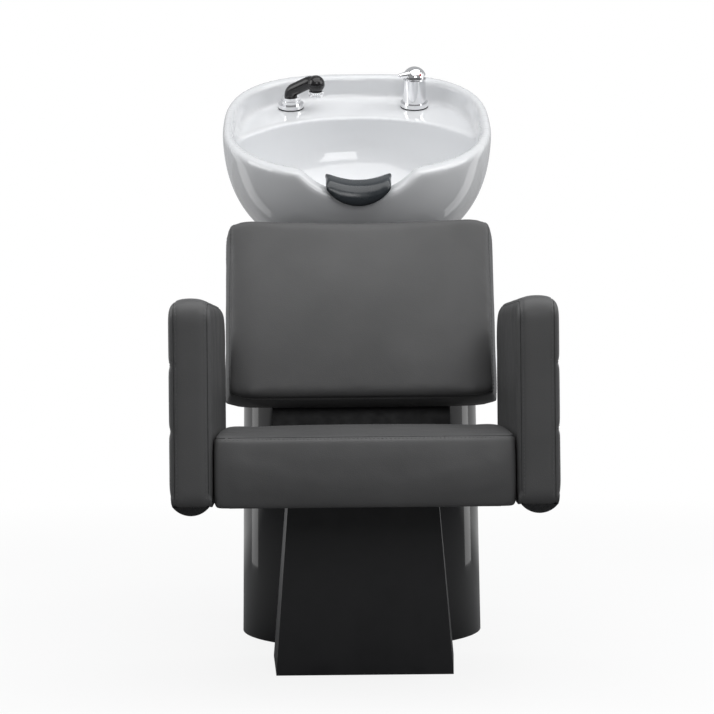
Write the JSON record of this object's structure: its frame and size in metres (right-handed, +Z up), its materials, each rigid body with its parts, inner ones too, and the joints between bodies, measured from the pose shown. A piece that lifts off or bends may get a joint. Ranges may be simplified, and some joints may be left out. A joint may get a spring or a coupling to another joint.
{
  "type": "backwash unit",
  "caption": "Salon backwash unit: upholstered armchair on a tapered foot in front of a round pedestal that carries a tilting ceramic bowl with mixer tap and hand spray.",
  "frame": {"origin": "on the floor under the middle of the unit's bounding box", "axes": "+Z up, the sitter faces -Y, +X is to the right of someone looking at the unit's front"},
  "size_m": [0.614, 1.1432, 1.0964],
  "materials": {
    "black_leather": "smooth black-grey synthetic leather",
    "arm_cap": "black moulded strip",
    "black_foot": "satin black paint",
    "black_gloss": "high-gloss black moulding",
    "black_panel": "matte black sheet",
    "black_steel": "black powder coat",
    "zinc_steel": "zinc-plated fasteners",
    "plywood": "birch plywood",
    "black_board": "black-stained plywood",
    "rubber": "black rubber",
    "white_ceramic": "white glaze",
    "chrome": "polished chrome",
    "steel": "stainless steel",
    "brass": "bare brass",
    "black_plastic": "glossy black plastic",
    "grey_plastic": "grey plastic"
  },
  "bodies": {
    "base": {"arm_bolts": "zinc_steel", "back_board": "black_board", "back_bracket": "black_steel", "back_bracket_bolts": "zinc_steel", "back_cushion": "black_leather", "base_plate": "black_steel", "bowl_post": "black_steel", "floor_pads": "rubber", "front_foot": "black_foot", "left_arm_cap": "arm_cap", "left_arm_core": "plywood", "left_arm_pad": "black_leather", "pedestal_lid": "black_gloss", "pedestal_shell": "black_gloss", "rear_panel": "black_panel", "rear_panel_screws": "zinc_steel", "right_arm_cap": "arm_cap", "right_arm_core": "plywood", "right_arm_pad": "black_leather", "seat_board": "black_board", "seat_column": "black_steel", "seat_cushion": "black_leather", "seat_plate": "black_steel", "seat_plate_bolts": "zinc_steel", "tilt_fork": "black_steel", "tilt_nuts": "zinc_steel", "tilt_pin": "zinc_steel"},
    "bowl": {"bowl": "white_ceramic", "neck_pad": "rubber", "bowl_bracket": "black_steel", "bowl_bracket_bolts": "zinc_steel", "drain_flange": "chrome", "drain_gasket": "rubber", "drain_nut": "grey_plastic", "drain_tail": "grey_plastic", "mixer_gasket": "rubber", "mixer_body": "chrome", "mixer_nut": "brass", "mixer_cartridge": "grey_plastic", "mixer_tails": "brass", "spray_holder": "chrome", "spray_holder_gasket": "rubber", "spray_holder_nut": "brass"},
    "mixer_turn": {"mixer_ball": "chrome"},
    "mixer_lift": {"mixer_lever": "chrome", "mixer_indicator": "black_plastic"},
    "spray_stem": {"spray_collar": "chrome", "spray_tail": "brass"},
    "spray": {"spray_handle": "black_plastic", "spray_nozzle": "chrome"},
    "strainer": {"drain_strainer": "steel"}
  },
  "joints": [
    {"name": "bowl_tilt", "type": "hinge", "parent": "base", "child": "bowl", "pos_m": [0, 0.3804, 0.745], "axis": [1, 0, 0], "range_deg": [-15, 0]},
    {"name": "lever_turn", "type": "hinge", "parent": "bowl", "child": "mixer_turn", "pos_m": [0.12, 0.46152, 1.07232], "axis": [0, -0.4035, 0.915], "range_deg": [-45, 45]},
    {"name": "lever_lift", "type": "hinge", "parent": "mixer_turn", "child": "mixer_lift", "pos_m": [0.12, 0.46152, 1.07232], "axis": [-0.5736, 0.7495, 0.3306], "range_deg": [0, 20]},
    {"name": "spray_lift", "type": "slide", "parent": "bowl", "child": "spray_stem", "axis": [0, -0.4035, 0.915], "range_m": [0, 0.25]},
    {"name": "spray_turn", "type": "hinge", "parent": "spray_stem", "child": "spray", "pos_m": [-0.132, 0.47605, 1.03938], "axis": [0, -0.4035, 0.915], "range_deg": [-90, 10]},
    {"name": "strainer_lift", "type": "slide", "parent": "bowl", "child": "strainer", "axis": [0, -0.4035, 0.915], "range_m": [0, 0.06]}
  ]
}
